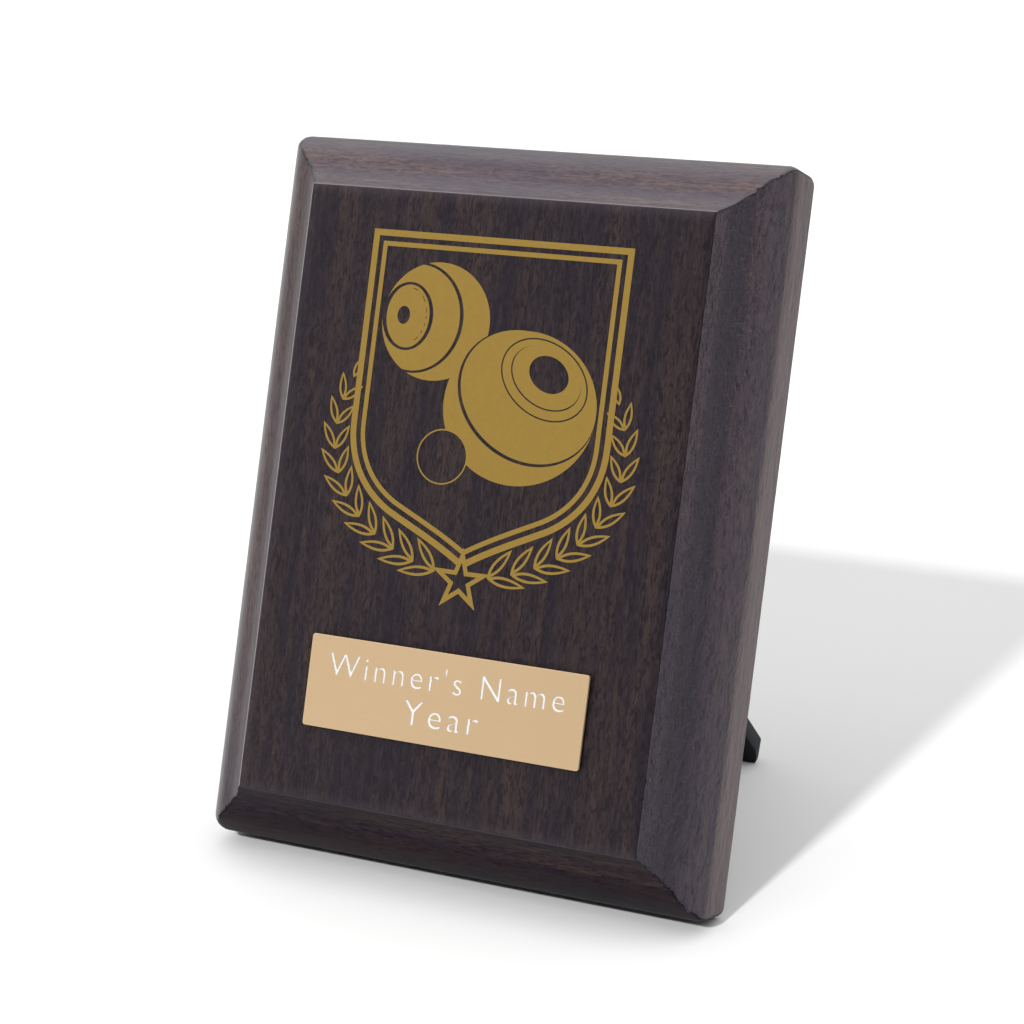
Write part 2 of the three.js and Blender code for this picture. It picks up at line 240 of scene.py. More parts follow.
def woodFoil(name, side, shift):
    given = foilSides[side]
    tone, lump = given["tone"], given["lump"]
    made = Finish(name)
    bands = made.noise(made.place((0.010, 0.17, 1), shift), 1.0, 3, 0.55, 0.5)
    streaks = made.noise(made.place((0.045, 0.75, 1), shift), 1.0, 4, 0.6, 0.4)
    figure = made.noise(made.place((0.55, 1.9, 1), shift), 1.0, 4, 0.62, 1.3)
    hairs = made.noise(made.place((0.3, 6.0, 1), shift), 1.0, 3, 0.6, 0.6)
    cracks = made.noise(made.place((0.05, 1.5, 1), shift), 1.0, 2, 0.5, 0.9)
    warm = (made.ramp(bands, 0.40, 0.64) * 0.7 + made.ramp(streaks, 0.42, 0.68) * 0.5).kept()
    if side != "face":
        across = made.mapOf("foil")[1]
        toEnd = made.mapOf("mitre")[0]
    if side == "right":     # on the right side only, painted light and reflection: the moulding cooler, the side wall a paler brown
        beyond = made.ramp(across, foil["wallFrom"], foil["wallTo"])
        warm = (warm * 0.5 + beyond * 0.6).kept()
    ground = made.mix(warm, made.colour(*foil["blue"]), made.colour(*foil["brown"]))
    shade = (made.ramp(hairs, 0.44, 0.66) * 0.6 + made.ramp(figure, 0.53, 0.37) * 0.75).kept()
    lined = made.mix(shade, ground, made.colour(*foil["dark"]))
    pale = made.ramp(figure, 0.52, 0.74) * (warm * 0.45 + 0.3) * (1 - 0.6 * made.ramp(hairs, 0.45, 0.6))
    pale = pale * given["flecks"]
    flecked = made.mix(pale.kept(), lined, made.colour(*foil["fleck"]))
    split = (made.ramp(cracks, 0.33, 0.24) * 0.85).kept()
    if side != "face":      # painted shade: dark in the band, at the mitre gaps and along the turn, where shade and darker reflections fall
        shadedBand = made.ramp(across, given["bandFrom"] - 0.8, given["bandFrom"] + 0.6)
        shadedBand = shadedBand * made.ramp(across, given["bandTo"] + 1.2, given["bandTo"] - 1.2)
        mottled = made.ramp(figure * 0.7 + streaks * 0.3, 0.40, 0.54)
        shadedFold = made.ramp((across - foil["shadedFold"]).size(), 0.55, 0.15) * made.ramp(streaks, 0.35, 0.6)
        # the mitre, band and turn terms add painted shade to the grain's dark cracks
        split = (split + made.ramp(toEnd * 1.3 + figure, 1.15, 0.7) * 0.95
                 + shadedBand * (0.15 + 0.95 * mottled) * given["band"] + shadedFold * 0.6).kept()
    if side == "right":
        # painted light: the right side wall painted a paler brown, as if lit
        lit = (beyond * (0.45 + 0.5 * made.ramp(streaks, 0.35, 0.6)) * (1 - shade * 0.5)).kept()
        flecked = made.mix(lit, flecked, made.colour(*foil["wall"]))
    paintedLightAndCracks = made.mix(split, flecked, made.colour(*foil["dark"]))
    if side != "face":
        # painted highlight: pale along the arris, strongest on the left
        arrisHighlightMask = made.ramp(across + figure * 0.2, 0.48, 0.2) * given["arrisHighlightAmount"]
        paintedLightAndCracks = made.mix(arrisHighlightMask.kept(), paintedLightAndCracks, made.colour(*foil["arrisHighlight"]))
    # tone lightens or darkens each side's foil; on the mouldings this is painted light
    toned = made.mix(1.0, paintedLightAndCracks, made.colour(tone, tone, tone), "MULTIPLY")
    peel = made.noise(made.place((1.5, 2.4, 1), shift), 1.0, 3, 0.6)
    wave = made.noise(made.place((0.35, 0.8, 1), shift), 1.0, 2, 0.5)
    height = peel * lump * 0.5 + wave * lump + (1 - made.ramp(hairs, 0.4, 0.8)) * 0.12 + figure * 0.4
    gloss = 0.14 * figure + 0.06 * hairs + (given["gloss"] - 0.10)
    if side == "right":
        gloss = gloss + beyond * 0.22
    relief = made.bump(height, given["relief"], foil["bumpDepth"])
    return made.finish(Base_Color=toned, Roughness=gloss.kept(), Specular_IOR_Level=given["specular"],
                       Specular_Tint=given["sheen"], Normal=relief)


def goldInk():
    made = Finish("gold_ink")
    place = made.place((900, 900, 900), flat=False)
    mottle = made.noise(place, 1.0, 3, 0.6)
    specks = made.noise(place, 6.0, 2, 0.5)
    tone = made.mix(mottle, made.colour(0.236, 0.149, 0.027), made.colour(0.203, 0.126, 0.022))
    rough = 0.42 + mottle * 0.12
    return made.finish(Base_Color=tone, Metallic=0.35, Roughness=rough,
                       Normal=made.bump(specks, 0.2, 0.00001))


def brushedGold():
    made = Finish("champagne_plate")
    along = made.place((60, 2600, 2600), flat=False)
    lines = made.noise(along, 1.0, 4, 0.7)
    broad = made.noise(made.place((70, 70, 70), flat=False), 1.0, 2, 0.5)
    tone = made.mix((lines * 0.5 + broad * 0.5).kept(), made.colour(0.585, 0.420, 0.247),
                    made.colour(0.522, 0.371, 0.213))
    return made.finish(Base_Color=tone, Metallic=0.6, Roughness=0.34 + lines * 0.16,
                       Normal=made.bump(lines, 0.12, 0.00001))


def cutMetal():
    made = Finish("engraved_metal")
    lines = made.noise(made.place((3000, 900, 3000), flat=False), 1.0, 3, 0.6)
    tone = made.mix(lines, made.colour(0.78, 0.77, 0.76), made.colour(0.50, 0.49, 0.49))
    return made.finish(Base_Color=tone, Metallic=0.25, Roughness=0.3 + lines * 0.2,
                       Normal=made.bump(lines, 0.5, 0.00003))


def zincSteel(name, tone, rough):
    made = Finish(name)
    rolled = made.noise(made.place((1500, 160, 160), flat=False), 1.0, 4, 0.65)
    cloud = made.noise(made.place((260, 260, 260), flat=False), 1.0, 3, 0.6)
    low = tuple(part * 0.62 for part in tone)
    base = made.mix((made.ramp(cloud, 0.35, 0.7) * 0.6 + rolled * 0.25).kept(),
                    made.colour(*tone), made.colour(*low))
    return made.finish(Base_Color=base, Metallic=1.0, Roughness=(rolled * 0.2 + cloud * 0.15 + rough).kept(),
                       Normal=made.bump(rolled, 0.2, 0.00002))


def strutCard():
    made = Finish("strut_black")
    pebble = made.node("ShaderNodeTexVoronoi", {"feature": "SMOOTH_F1"},
                       {"Vector": made.place((1, 1, 1), flat=False), "Scale": 1500.0, "Smoothness": 0.6})
    cloud = made.noise(made.place((120, 120, 120), flat=False), 1.0, 4, 0.6)
    scuff = made.ramp(made.noise(made.place((90, 900, 900), flat=False), 1.0, 5, 0.7), 0.6, 0.78)
    tone = made.mix((cloud * 0.5 + scuff * 0.5).kept(), made.colour(0.0030, 0.0036, 0.0052),
                    made.colour(0.0110, 0.0125, 0.0165))
    return made.finish(Base_Color=tone, Roughness=(0.40 + cloud * 0.12 + scuff * 0.15).kept(),
                       Specular_IOR_Level=0.22, Specular_Tint=(0.82, 0.92, 1.0, 1),
                       Normal=made.bump(pebble, 0.3, 0.00005))


def backPaper():
    made = Finish("back_paper")
    fibre = made.noise(made.place((500, 500, 500), flat=False), 1.0, 6, 0.7)
    long = made.noise(made.place((700, 90, 90), flat=False), 1.0, 4, 0.7, 1.2)
    cloud = made.noise(made.place((45, 45, 45), flat=False), 1.0, 3, 0.5)
    tone = made.mix((made.ramp(fibre, 0.35, 0.7) * 0.4 + long * 0.3 + cloud * 0.3).kept(),
                    made.colour(0.012, 0.0105, 0.010), made.colour(0.030, 0.026, 0.024))
    return made.finish(Base_Color=tone, Roughness=0.62 + fibre * 0.15, Specular_IOR_Level=0.4,
                       Normal=made.bump(fibre + long, 0.3, 0.00004))


def rawBoard():
    made = Finish("fibreboard")
    fibre = made.noise(made.place((1400, 1400, 1400), flat=False), 1.0, 5, 0.75)
    layer = made.noise(made.place((200, 900, 200), flat=False), 1.0, 3, 0.6)
    tone = made.mix((fibre * 0.6 + layer * 0.4).kept(), made.colour(0.42, 0.29, 0.17),
                    made.colour(0.23, 0.15, 0.085))
    return made.finish(Base_Color=tone, Roughness=0.85, Normal=made.bump(fibre, 0.5, 0.0001))


def foamTape():
    made = Finish("foam_tape")
    cells = made.node("ShaderNodeTexVoronoi", {}, {"Vector": made.place(flat=False), "Scale": 4000.0})
    tone = made.mix(cells, made.colour(0.62, 0.60, 0.55), made.colour(0.45, 0.43, 0.39))
    return made.finish(Base_Color=tone, Roughness=0.7, Normal=made.bump(cells, 0.4, 0.00003))


finishes = {
    "face": woodFoil("face_foil", "face", (0, 0, 0)),
    "gold": goldInk(),
    "plate": brushedGold(),
    "cut": cutMetal(),
    "steel": zincSteel("zinc_steel", (0.60, 0.59, 0.56), 0.22),
    "bright": zincSteel("bright_fastener", (0.74, 0.73, 0.70), 0.16),
    "strut": strutCard(),
    "back": backPaper(),
    "core": rawBoard(),
    "tape": foamTape(),
}
edgeSides = ("top", "bottom", "left", "right")
for count, side in enumerate(edgeSides):     # each strip is cut from another place of the roll
    finishes[side] = woodFoil("edge_foil_" + side, side, (37.0 * count + 11, 13.7 * count + 5, 0))
print("finishes made:", len(finishes))


# Helpers for pieces
def loose(name, mesh):
    made = bpy.data.objects.new(name, mesh)
    scene.collection.objects.link(made)
    return made


def drop(thing):
    bpy.data.objects.remove(thing)


def applied(thing):
    bpy.context.view_layer.update()
    seen = bpy.context.evaluated_depsgraph_get()
    mesh = bpy.data.meshes.new_from_object(thing.evaluated_get(seen))
    thing.modifiers.clear()
    thing.data = mesh
    return thing


def tidied(mesh, gap=1e-6, angle=32):
    work = bmesh.new()
    work.from_mesh(mesh)
    bmesh.ops.remove_doubles(work, verts=work.verts, dist=gap)
    bmesh.ops.recalc_face_normals(work, faces=work.faces)
    work.to_mesh(mesh)
    work.free()
    mesh.shade_smooth()
    mesh.set_sharp_from_angle(angle=math.radians(angle))
    return mesh


def ease(thing, width, angle):
    # bevels every edge that turns more than the angle
    bevel = thing.modifiers.new("easing", "BEVEL")
    bevel.width = width
    bevel.segments = 2
    bevel.limit_method = "ANGLE"
    bevel.angle_limit = math.radians(angle)


def setPiece(thing, body, finish, stands=()):
    if finish is not None:
        thing.data.materials.clear()
        thing.data.materials.append(finishes[finish])
    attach(thing, body)
    if stands:
        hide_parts(*stands)
    return thing


def meshOf(name, points, faces):
    mesh = bpy.data.meshes.new(name)
    mesh.from_pydata([tuple(point) for point in points], [], faces)
    mesh.update()
    return mesh


# Foils
def mouldingPoint(across):
    # distance from the outside of the board, and from the face, this far across the moulding
    s = across / board["run"]
    fall = s + board["wave"] * math.sin(2 * math.pi * s) / (2 * math.pi)
    bulge = board["arris"] * across * math.exp(-across / board["arrisFade"])
    return board["run"] - across, board["drop"] * fall - bulge + 0.02


def edgeProfile():
    # rows from the face to the back: arris, moulding, turn and side wall
    arrisRows = (0.05, 0.09, 0.14, 0.2, 0.28, 0.38, 0.5, 0.65)
    mouldingRows, turnRows = 44, 10
    arrisEnd = arrisRows[-1]
    turnStart = board["run"] - board["round"] * 0.5
    spread = (turnStart - arrisEnd) / mouldingRows
    rows = [mouldingPoint(across) for across in arrisRows]
    rows += [mouldingPoint(arrisEnd + spread * i) for i in range(1, mouldingRows + 1)]
    start = Vector(rows[-1])
    corner = Vector((0, board["drop"]))
    finish = Vector((0, board["drop"] + board["round"]))
    for i in range(1, turnRows):
        t = i / turnRows
        rows.append(tuple(start * (1 - t)**2 + corner * 2 * t * (1 - t) + finish * t**2))
    wall = [board["round"], 1.5, 2.2, 3.2, 4.8, 5.7, 6.2, board["wallEnd"] - board["drop"]]
    return rows + [(0, board["drop"] + more) for more in wall]


def stepsAlong(half):
    # from the middle outwards, closer together near the corner
    end, endSteps = 1.3, 7
    count = max(2, round((half - end) / board["step"]))
    inner = [(half - end) * i / count for i in range(count)]
    return inner + [half - end + end * i / endSteps for i in range(endSteps + 1)]


def ragged(corner, margin):
    # how far one foil overruns the other at a mitre; both edges of a corner get the same amount
    fading = (board["run"] - margin) / board["raggedFade"]
    growing = (margin - board["raggedFrom"]) / board["raggedGrow"]
    fade = max(0, min(1, fading, growing))
    place = Vector((corner[0] * 5.3, corner[1] * 9.1, margin / board["raggedPitch"]))
    return board["ragged"] * fade * (noise.noise(place) + 0.7 * noise.noise(place * 2.7))


def edgeFoil(side):
    # a sheet of rows across the moulding and columns along it, its ends trimmed at the mitres
    upright = side in ("left", "right")
    across, along = (board["width"], board["height"]) if upright else (board["height"], board["width"])
    sign = 1 if side in ("right", "top") else -1
    corners = [(sign, end) if upright else (end, sign) for end in (-1, 1)]
    profile = edgeProfile()
    points, maps, toEnds = [], [], []
    length = 0
    for row, (margin, depth) in enumerate(profile):
        if row:
            length += math.dist(profile[row - 1], (margin, depth))
        radii = [max(board["corners"][corner] - margin, 0) for corner in corners]
        ends = []
        for corner, radius in zip(corners, radii):
            end = along / 2 - margin - radius * (1 - math.sqrt(0.5)) - board["seam"]
            ends.append(end + (1 if upright else -1) * ragged(corner, margin))
        steps = stepsAlong(along / 2 - board["run"])
        reach = [-step * ends[0] / steps[-1] for step in reversed(steps[1:])]
        reach += [step * ends[1] / steps[-1] for step in steps]
        columns = len(reach)
        for place in reach:
            out = across / 2 - margin
            radius = radii[1] if place > 0 else radii[0]
            past = abs(place) - (along / 2 - margin - radius)
            if past > 0 and radius > 0:
                out += math.sqrt(max(radius**2 - past**2, 0)) - radius
            x, z = (sign * out, place) if upright else (place, sign * out)
            seed = Vector((x, depth, z))
            toEnd = min(place + ends[0], ends[1] - place)
            near = max(0, 1 - toEnd / board["bunch"])
            sink = board["lump"] * (0.5 + 0.5 * noise.noise(seed * 0.45))
            sink += board["lump"] * near * (0.5 + 0.5 * noise.noise(seed * 2.1))
            wall = max(0, min(1, (depth - board["drop"]) / board["round"] / 2 + 0.5))
            inward = sink * (0.7 + 0.3 * wall)
            x, z = (x - sign * inward, z) if upright else (x, z - sign * inward)
            points.append((x, depth + sink * 0.7 * (1 - wall), z))
            maps.append((place, length))
            toEnds.append((toEnd, 0))
    faces = []
    for row in range(len(profile) - 1):
        for column in range(columns - 1):
            a = row * columns + column
            faces.append((a, a + 1, a + columns + 1, a + columns))
    mesh = meshOf("edge_foil_sheet_" + side, points, faces)
    mapped(mesh, "foil", maps)
    mapped(mesh, "mitre", toEnds)
    middle = mesh.polygons[len(mesh.polygons) // 2]
    if middle.normal.y > 0:
        mesh.flip_normals()
    return thicken(mesh, board["foil"])


def mapped(mesh, name, places):
    # a map that gives every point its own place
    layer = mesh.uv_layers.new(name=name)
    for loop in mesh.loops:
        layer.uv[loop.index].vector = places[loop.vertex_index]


core = {
    "wallGap": 0.25,     # from the outside of a foil to the board under it, at the side wall
    "gap": 0.195,        # and at the moulding, across
    "depthGap": 0.175,
    "taper": 0.02,
    "leastRadius": 0.03,
    "cornerSteps": 6,
}


def coreBlock():
    # the moulded board inside the foils, a stack of rounded outlines
    end = board["wallEnd"]
    rings = []
    for margin, depth in edgeProfile()[::2] + [(0, end)]:
        inset = margin + (core["wallGap"] if margin < 0.01 else core["gap"])
        depth = min(depth + (end - depth) * core["taper"] + core["depthGap"], end)
        ring = []
        for corner, start in (((1, 1), 0), ((-1, 1), 90), ((-1, -1), 180), ((1, -1), 270)):
            radius = max(board["corners"][corner] - inset, core["leastRadius"])
            for step in range(core["cornerSteps"] + 1):
                turn = math.radians(start + 90 * step / core["cornerSteps"])
                x = corner[0] * (board["width"] / 2 - inset - radius) + radius * math.cos(turn)
                z = corner[1] * (board["height"] / 2 - inset - radius) + radius * math.sin(turn)
                ring.append((x, depth, z))
        rings.append(ring)
    around = len(rings[0])
    total = len(rings) * around
    faces = [tuple(range(around)), tuple(range(total - 1, total - around - 1, -1))]
    for row in range(len(rings) - 1):
        for column in range(around):
            a, b = row * around + column, row * around + (column + 1) % around
            faces.append((a, a + around, b + around, b))
    mesh = meshOf("moulded_core", [point for ring in rings for point in ring], faces)
    mesh.transform(boardFrame)
    return loose("moulded_core", tidied(mesh, 1e-7))


def thicken(mesh, thickness, bevel=0):
    # gives a sheet in the board's frame its thickness, inwards, and puts it in its place
    thing = loose(mesh.name, mesh)
    solid = thing.modifiers.new("thickness", "SOLIDIFY")
    solid.thickness = thickness
    solid.offset = -1
    if bevel:
        ease(thing, bevel, 50)
    applied(thing)
    thing.data.transform(boardFrame)
    thing.data.shade_smooth()
    thing.data.set_sharp_from_angle(angle=math.radians(50))
    return thing


def faceSheet():
    halfWidth = faceWidth / 2 - board["seam"]
    halfHeight = faceHeight / 2 - board["seam"]
    acrossCount, upCount = 40, 56
    points, maps = [], []
    for row in range(upCount + 1):
        for column in range(acrossCount + 1):
            x = halfWidth * (2 * column / acrossCount - 1)
            z = halfHeight * (2 * row / upCount - 1)
            sink = board["faceLump"] * (0.5 + 0.5 * noise.noise(Vector((x, 0, z)) * 0.12))
            points.append((x, sink, z))
            maps.append((z, x))
    faces = []
    for row in range(upCount):
        for column in range(acrossCount):
            a = row * (acrossCount + 1) + column
            faces.append((a, a + 1, a + acrossCount + 2, a + acrossCount + 1))
    mesh = meshOf("face_foil_sheet", points, faces)
    mapped(mesh, "foil", maps)
    if mesh.polygons[0].normal.y > 0:
        mesh.flip_normals()
    return thicken(mesh, board["foil"] - 0.02, board["faceEase"])


setPiece(faceSheet(), "board", "face", ["face_laminate"])
for side in edgeSides:
    setPiece(edgeFoil(side), "board", side, ["edge_foil_" + side])
setPiece(coreBlock(), "board", "core", ["board_core"])
print("foils wrapped")


# Gold print
# Every shape is drawn in the print frame, in mm: x to the right, y up from the middle of the face.
ink = {
    "film": 0.03,        # thickness of the ink
    "gap": 0.004,        # ink and face stay apart by this
    "topEdge": 37.1,     # top of the shield
    "halfWidth": 19.4,
    "shoulder": 10.2,    # where its straight sides end
    "point": -8.2,
    "outerLine": 0.9,
    "lineGap": 0.7,
    "innerLine": 0.67,
    "starRadius": 4.6,
    "starWaist": 0.375,
    "starMiddle": (0, -9.8),
    "starLine": 0.62,
    "starOverlap": 0.1,  # of the star over the point of the shield
}


def bezier(start, first, second, end, count):
    points = []
    for i in range(count + 1):
        t = i / count
        u = 1 - t
        weights = (u**3, 3 * u * u * t, 3 * u * t * t, t**3)
        pulls = list(zip(weights, (start, first, second, end)))
        points.append(tuple(sum(weight * pull[k] for weight, pull in pulls) for k in (0, 1)))
    return points


def offsetLoop(points, distance):
    # moves a closed outline to its left by distance, with mitred corners
    moved = []
    for i, here in enumerate(points):
        before = Vector(points[i - 1])
        after = Vector(points[(i + 1) % len(points)])
        here = Vector(here)
        first = (here - before).normalized()
        second = (after - here).normalized()
        normal = Vector((-first.y - second.y, first.x + second.x)).normalized()
        lift = distance / max(0.25, normal.dot(Vector((-first.y, first.x))))
        moved.append(tuple(here + normal * lift))
    return moved


def insetLoop(points, distance):
    # as offsetLoop, without the points that would cross over at a corner
    nearest = 0.985 * distance
    kept = []
    for point in offsetLoop(points, distance):
        spot = Vector(point)
        near = min((spot - closestOn(spot, Vector(points[i - 1]), Vector(points[i]))).length
                   for i in range(len(points)))
        if near > nearest:
            kept.append(point)
    return kept


def closestOn(spot, start, end):
    along = end - start
    t = max(0, min(1, (spot - start).dot(along) / along.length_squared))
    return start + along * t


def ellipse(middle, reach, turn=0, count=96):
    cosTurn, sinTurn = math.cos(math.radians(turn)), math.sin(math.radians(turn))
    points = []
    for i in range(count):
        angle = 2 * math.pi * i / count
        a, b = reach[0] * math.cos(angle), reach[1] * math.sin(angle)
        points.append((middle[0] + a * cosTurn - b * sinTurn, middle[1] + a * sinTurn + b * cosTurn))
    return points


def slab(outline, low, high):
    # a closed flat solid with this outline
    count = len(outline)
    points = [(x, y, low) for x, y in outline] + [(x, y, high) for x, y in outline]
    faces = [tuple(reversed(range(count))), tuple(range(count, 2 * count))]
    faces += [(i, (i + 1) % count, count + (i + 1) % count, count + i) for i in range(count)]
    return meshOf("slab", points, faces)


def band(left, right, low, high, closed=True):
    # a closed flat solid between two rails
    count = len(left)
    points = [(x, y, z) for z in (low, high) for rail in (left, right) for x, y in rail]
    faces = []
    for i in range(count if closed else count - 1):
        j = (i + 1) % count
        faces += [
            (i, j, count + j, count + i),
            (2 * count + i, 3 * count + i, 3 * count + j, 2 * count + j),
            (i, 2 * count + i, 2 * count + j, j),
            (count + i, count + j, 3 * count + j, 3 * count + i),
        ]
    if not closed:
        last = count - 1
        faces.append((0, count, 3 * count, 2 * count))
        faces.append((last, 2 * count + last, 3 * count + last, count + last))
    return meshOf("band", points, faces)


def strokeBand(path, width, low, high):
    # an open stroke that tapers over a fifth of its length at both ends
    left, right = [], []
    for i, here in enumerate(path):
        before, after = Vector(path[max(i - 1, 0)]), Vector(path[min(i + 1, len(path) - 1)])
        along = (after - before).normalized()
        t = i / (len(path) - 1)
        half = width / 2 * max(0.12, min(1, 5 * t, 5 * (1 - t)))
        left.append((here[0] - along.y * half, here[1] + along.x * half))
        right.append((here[0] + along.y * half, here[1] - along.x * half))
    return band(left, right, low, high, False)


def combine(base, *steps):
    # joins or cuts flat solids, one after the other
    thing = loose("print", tidied(base))
    tools = []
    for operation, mesh in steps:
        tool = loose("tool", tidied(mesh))
        tool.hide_render = True
        tools.append(tool)
        modifier = thing.modifiers.new("step", "BOOLEAN")
        modifier.operation = operation
        modifier.solver = "EXACT"
        modifier.object = tool
    applied(thing)
    for tool in tools:
        drop(tool)
    return thing


def printed(thing, name):
    # a finished shape of the print, laid on the face
    thing.name = thing.data.name = name
    work = bmesh.new()
    work.from_mesh(thing.data)
    bmesh.ops.remove_doubles(work, verts=work.verts, dist=1e-4)
    bmesh.ops.triangulate(work, faces=work.faces)
    bmesh.ops.recalc_face_normals(work, faces=work.faces)
    work.to_mesh(thing.data)
    work.free()
    thing.data.transform(printFrame)
    thing.data.shade_flat()
    return setPiece(thing, "board", "gold")


def shieldOutline():
    half, top = ink["halfWidth"], ink["topEdge"]
    shoulder, point = ink["shoulder"], ink["point"]
    knee = (0.62 * half, shoulder - 12.25)
    curve = bezier((half, shoulder), (half, shoulder - 6), (0.835 * half, shoulder - 10), knee, 18)
    curve += bezier(knee, (0.44 * half, shoulder - 13.95), (0.206 * half, point + 2.6), (0, point), 14)[1:]
    mirrored = [(-x, y) for x, y in reversed(curve[:-1])]
    loop = curve + mirrored + [(-half, top), (half, top)]
    return list(reversed(loop))


def starOutline():
    middle, radius = ink["starMiddle"], ink["starRadius"]
    points = []
    for i in range(10):
        reach = radius if i % 2 == 0 else radius * ink["starWaist"]
        angle = math.pi / 2 + math.pi * i / 5
        points.append((middle[0] + reach * math.cos(angle), middle[1] + reach * math.sin(angle)))
    return points


def layer(rise):
    # overlapping prints differ in height by a few thousandths
    return ink["gap"], ink["film"] + rise


outline = shieldOutline()
star = starOutline()
starCut = slab(offsetLoop(star, ink["starOverlap"]), -1, 1)
outerEnd = ink["outerLine"]
innerStart = outerEnd + ink["lineGap"]
innerEnd = innerStart + ink["innerLine"]
low, high = layer(0.004)
shield = combine(
    slab(outline, low, high),
    ("DIFFERENCE", slab(insetLoop(outline, outerEnd), -1, 1)),
    ("UNION", slab(insetLoop(outline, innerStart), low, high)),
    ("DIFFERENCE", slab(insetLoop(outline, innerEnd), -1, 1)),
    ("DIFFERENCE", starCut),
)
printed(shield, "print_shield")
starBand = loose("print", tidied(band(star, offsetLoop(star, ink["starLine"]), *layer(0.008))))
printed(starBand, "print_star")

# Two bowls and the jack, from ellipses: middle, half width and half height, turn in degrees
bowls = {
    "rear": ((-8.4, 25.0), (8.15, 8.15), 0),
    "rearBand": ((-11.5, 25.3), (6.97, 7.5), 0),
    "rearDisc": ((-12.7, 25.4), (3.27, 4.36), 0),
    "rearDiscEdge": ((-12.72, 25.4), (3.85, 4.72), 0),
    "rearRing": ((-12.75, 25.5), (2.85, 3.83), 0),
    "rearHole": ((-13.35, 25.5), (0.95, 1.25), 0),
    "front": ((5.55, 14.4), (11.27, 10.52), 0),
    "frontBody": ((6.63, 16.05), (10.57, 8.37), -27),
    "frontEdge": ((6.44, 15.87), (10.8, 8.6), -27),
    "frontRing": ((8.7, 18.55), (6.8, 4.94), -29),
    "frontInner": ((8.95, 18.85), (5.48, 3.92), -27.5),
    "frontHole": ((9.3, 19.3), (3.06, 2.35), -27),
    "jack": ((-4.95, 6.7), (3.82, 3.82), 0),
    "line": 0.2,
    "bandLine": 0.54,
    "jackLine": 0.21,
    "dashes": ((-62, 16), (-38, 9), (-20, 7), (-4, 6), (8, 12), (30, 20), (66, 18)),   # start and span
    "dashLine": 0.1,
    "innerArc": (142, 385),      # the thin line round the front hole, start and end in degrees
}


def disc(name, low=-1, high=1):
    return slab(ellipse(*bowls[name]), low, high)


def ring(name, width, grow=(1, 1)):
    middle, reach, turn = bowls[name]
    outer = ellipse(middle, (reach[0] + grow[0] * width / 2, reach[1] + grow[1] * width / 2), turn)
    inner = ellipse(middle, (reach[0] - grow[0] * width / 2, reach[1] - grow[1] * width / 2), turn)
    return band(outer, inner, -1, 1)


def arc(name, start, end, width, count=40):
    middle, reach, turn = bowls[name]
    tilt = Matrix.Rotation(math.radians(turn), 2)
    path = []
    for i in range(count + 1):
        angle = math.radians(start + (end - start) * i / count)
        spot = tilt @ Vector((reach[0] * math.cos(angle), reach[1] * math.sin(angle)))
        path.append((middle[0] + spot.x, middle[1] + spot.y))
    return strokeBand(path, width, -1, 1)


low, high = layer(0)
jackMiddle, jackReach, _ = bowls["jack"]
jackInside = slab(ellipse(jackMiddle, [reach - bowls["jackLine"] for reach in jackReach]), -1, 1)
discEdge = band(ellipse(*bowls["rearDiscEdge"]), ellipse(*bowls["rearDisc"]), -1, 1)
dashes = [("DIFFERENCE", arc("rearRing", start, start + span, bowls["dashLine"], 8))
          for start, span in bowls["dashes"]]
bowlPrint = combine(
    disc("rear", low, high),
    ("UNION", disc("front", low, high)),
    ("DIFFERENCE", disc("frontEdge")),
    ("UNION", disc("frontBody", low, high)),
    ("DIFFERENCE", ring("rearBand", bowls["bandLine"], (1, 0.6))),
    ("DIFFERENCE", discEdge),
    ("DIFFERENCE", disc("rearHole")),
    *dashes,
    ("DIFFERENCE", ring("frontRing", bowls["line"])),
    ("DIFFERENCE", arc("frontInner", *bowls["innerArc"], bowls["line"])),
    ("DIFFERENCE", disc("frontHole")),
    ("UNION", disc("jack", low, high)),
    ("DIFFERENCE", jackInside),
)
printed(bowlPrint, "print_bowls")
print("print drawn")


# Laurel
laurel = {
    "pairs": 10,
    "leafLength": 3.75,
    "leafWidth": 1.15,
    "leafLine": 0.3,
    "growth": 0.55,      # how much longer the leaves are at the foot of the branch
    "outerSplay": 21.0,  # degrees a leaf turns away from the stem
    "innerSplay": -38.0,
    "innerLength": 0.92,
    "tipLength": 0.85,
    "film": 0.024,
}


def nodeInput(tree, name, kind, value=None):
    socket = tree.interface.new_socket(name=name, in_out="INPUT", socket_type=kind)
    if value is not None:
        socket.default_value = value
    return socket.identifier


def geometryTree(name, sizes):
    tree = bpy.data.node_groups.new(name, "GeometryNodeTree")
    identifiers = {"Geometry": nodeInput(tree, "Geometry", "NodeSocketGeometry")}
    for key, value in sizes.items():
        kind = "NodeSocketInt" if isinstance(value, int) else "NodeSocketFloat"
        identifiers[key] = nodeInput(tree, key, kind, value)
    tree.interface.new_socket(name="Geometry", in_out="OUTPUT", socket_type="NodeSocketGeometry")
    graph = Graph(tree)
    start = graph.node("NodeGroupInput").socket.node
    given = {socket.name: Value(graph, socket) for socket in start.outputs if socket.name}
    return graph, given, identifiers


def closeTree(graph, shape, finish):
    real = graph.node("GeometryNodeRealizeInstances", {}, {0: shape})
    coated = graph.node("GeometryNodeSetMaterial", {}, {"Geometry": real, "Material": finishes[finish]})
    end = graph.tree.nodes.new("NodeGroupOutput")
    graph.tree.links.new(coated.socket, end.inputs[0])


def join(graph, *shapes):
    # one socket that takes all the shapes
    joined = graph.tree.nodes.new("GeometryNodeJoinGeometry")
    for shape in shapes:
        graph.tree.links.new(shape.socket, joined.inputs[0])
    return Value(graph, joined.outputs[0])


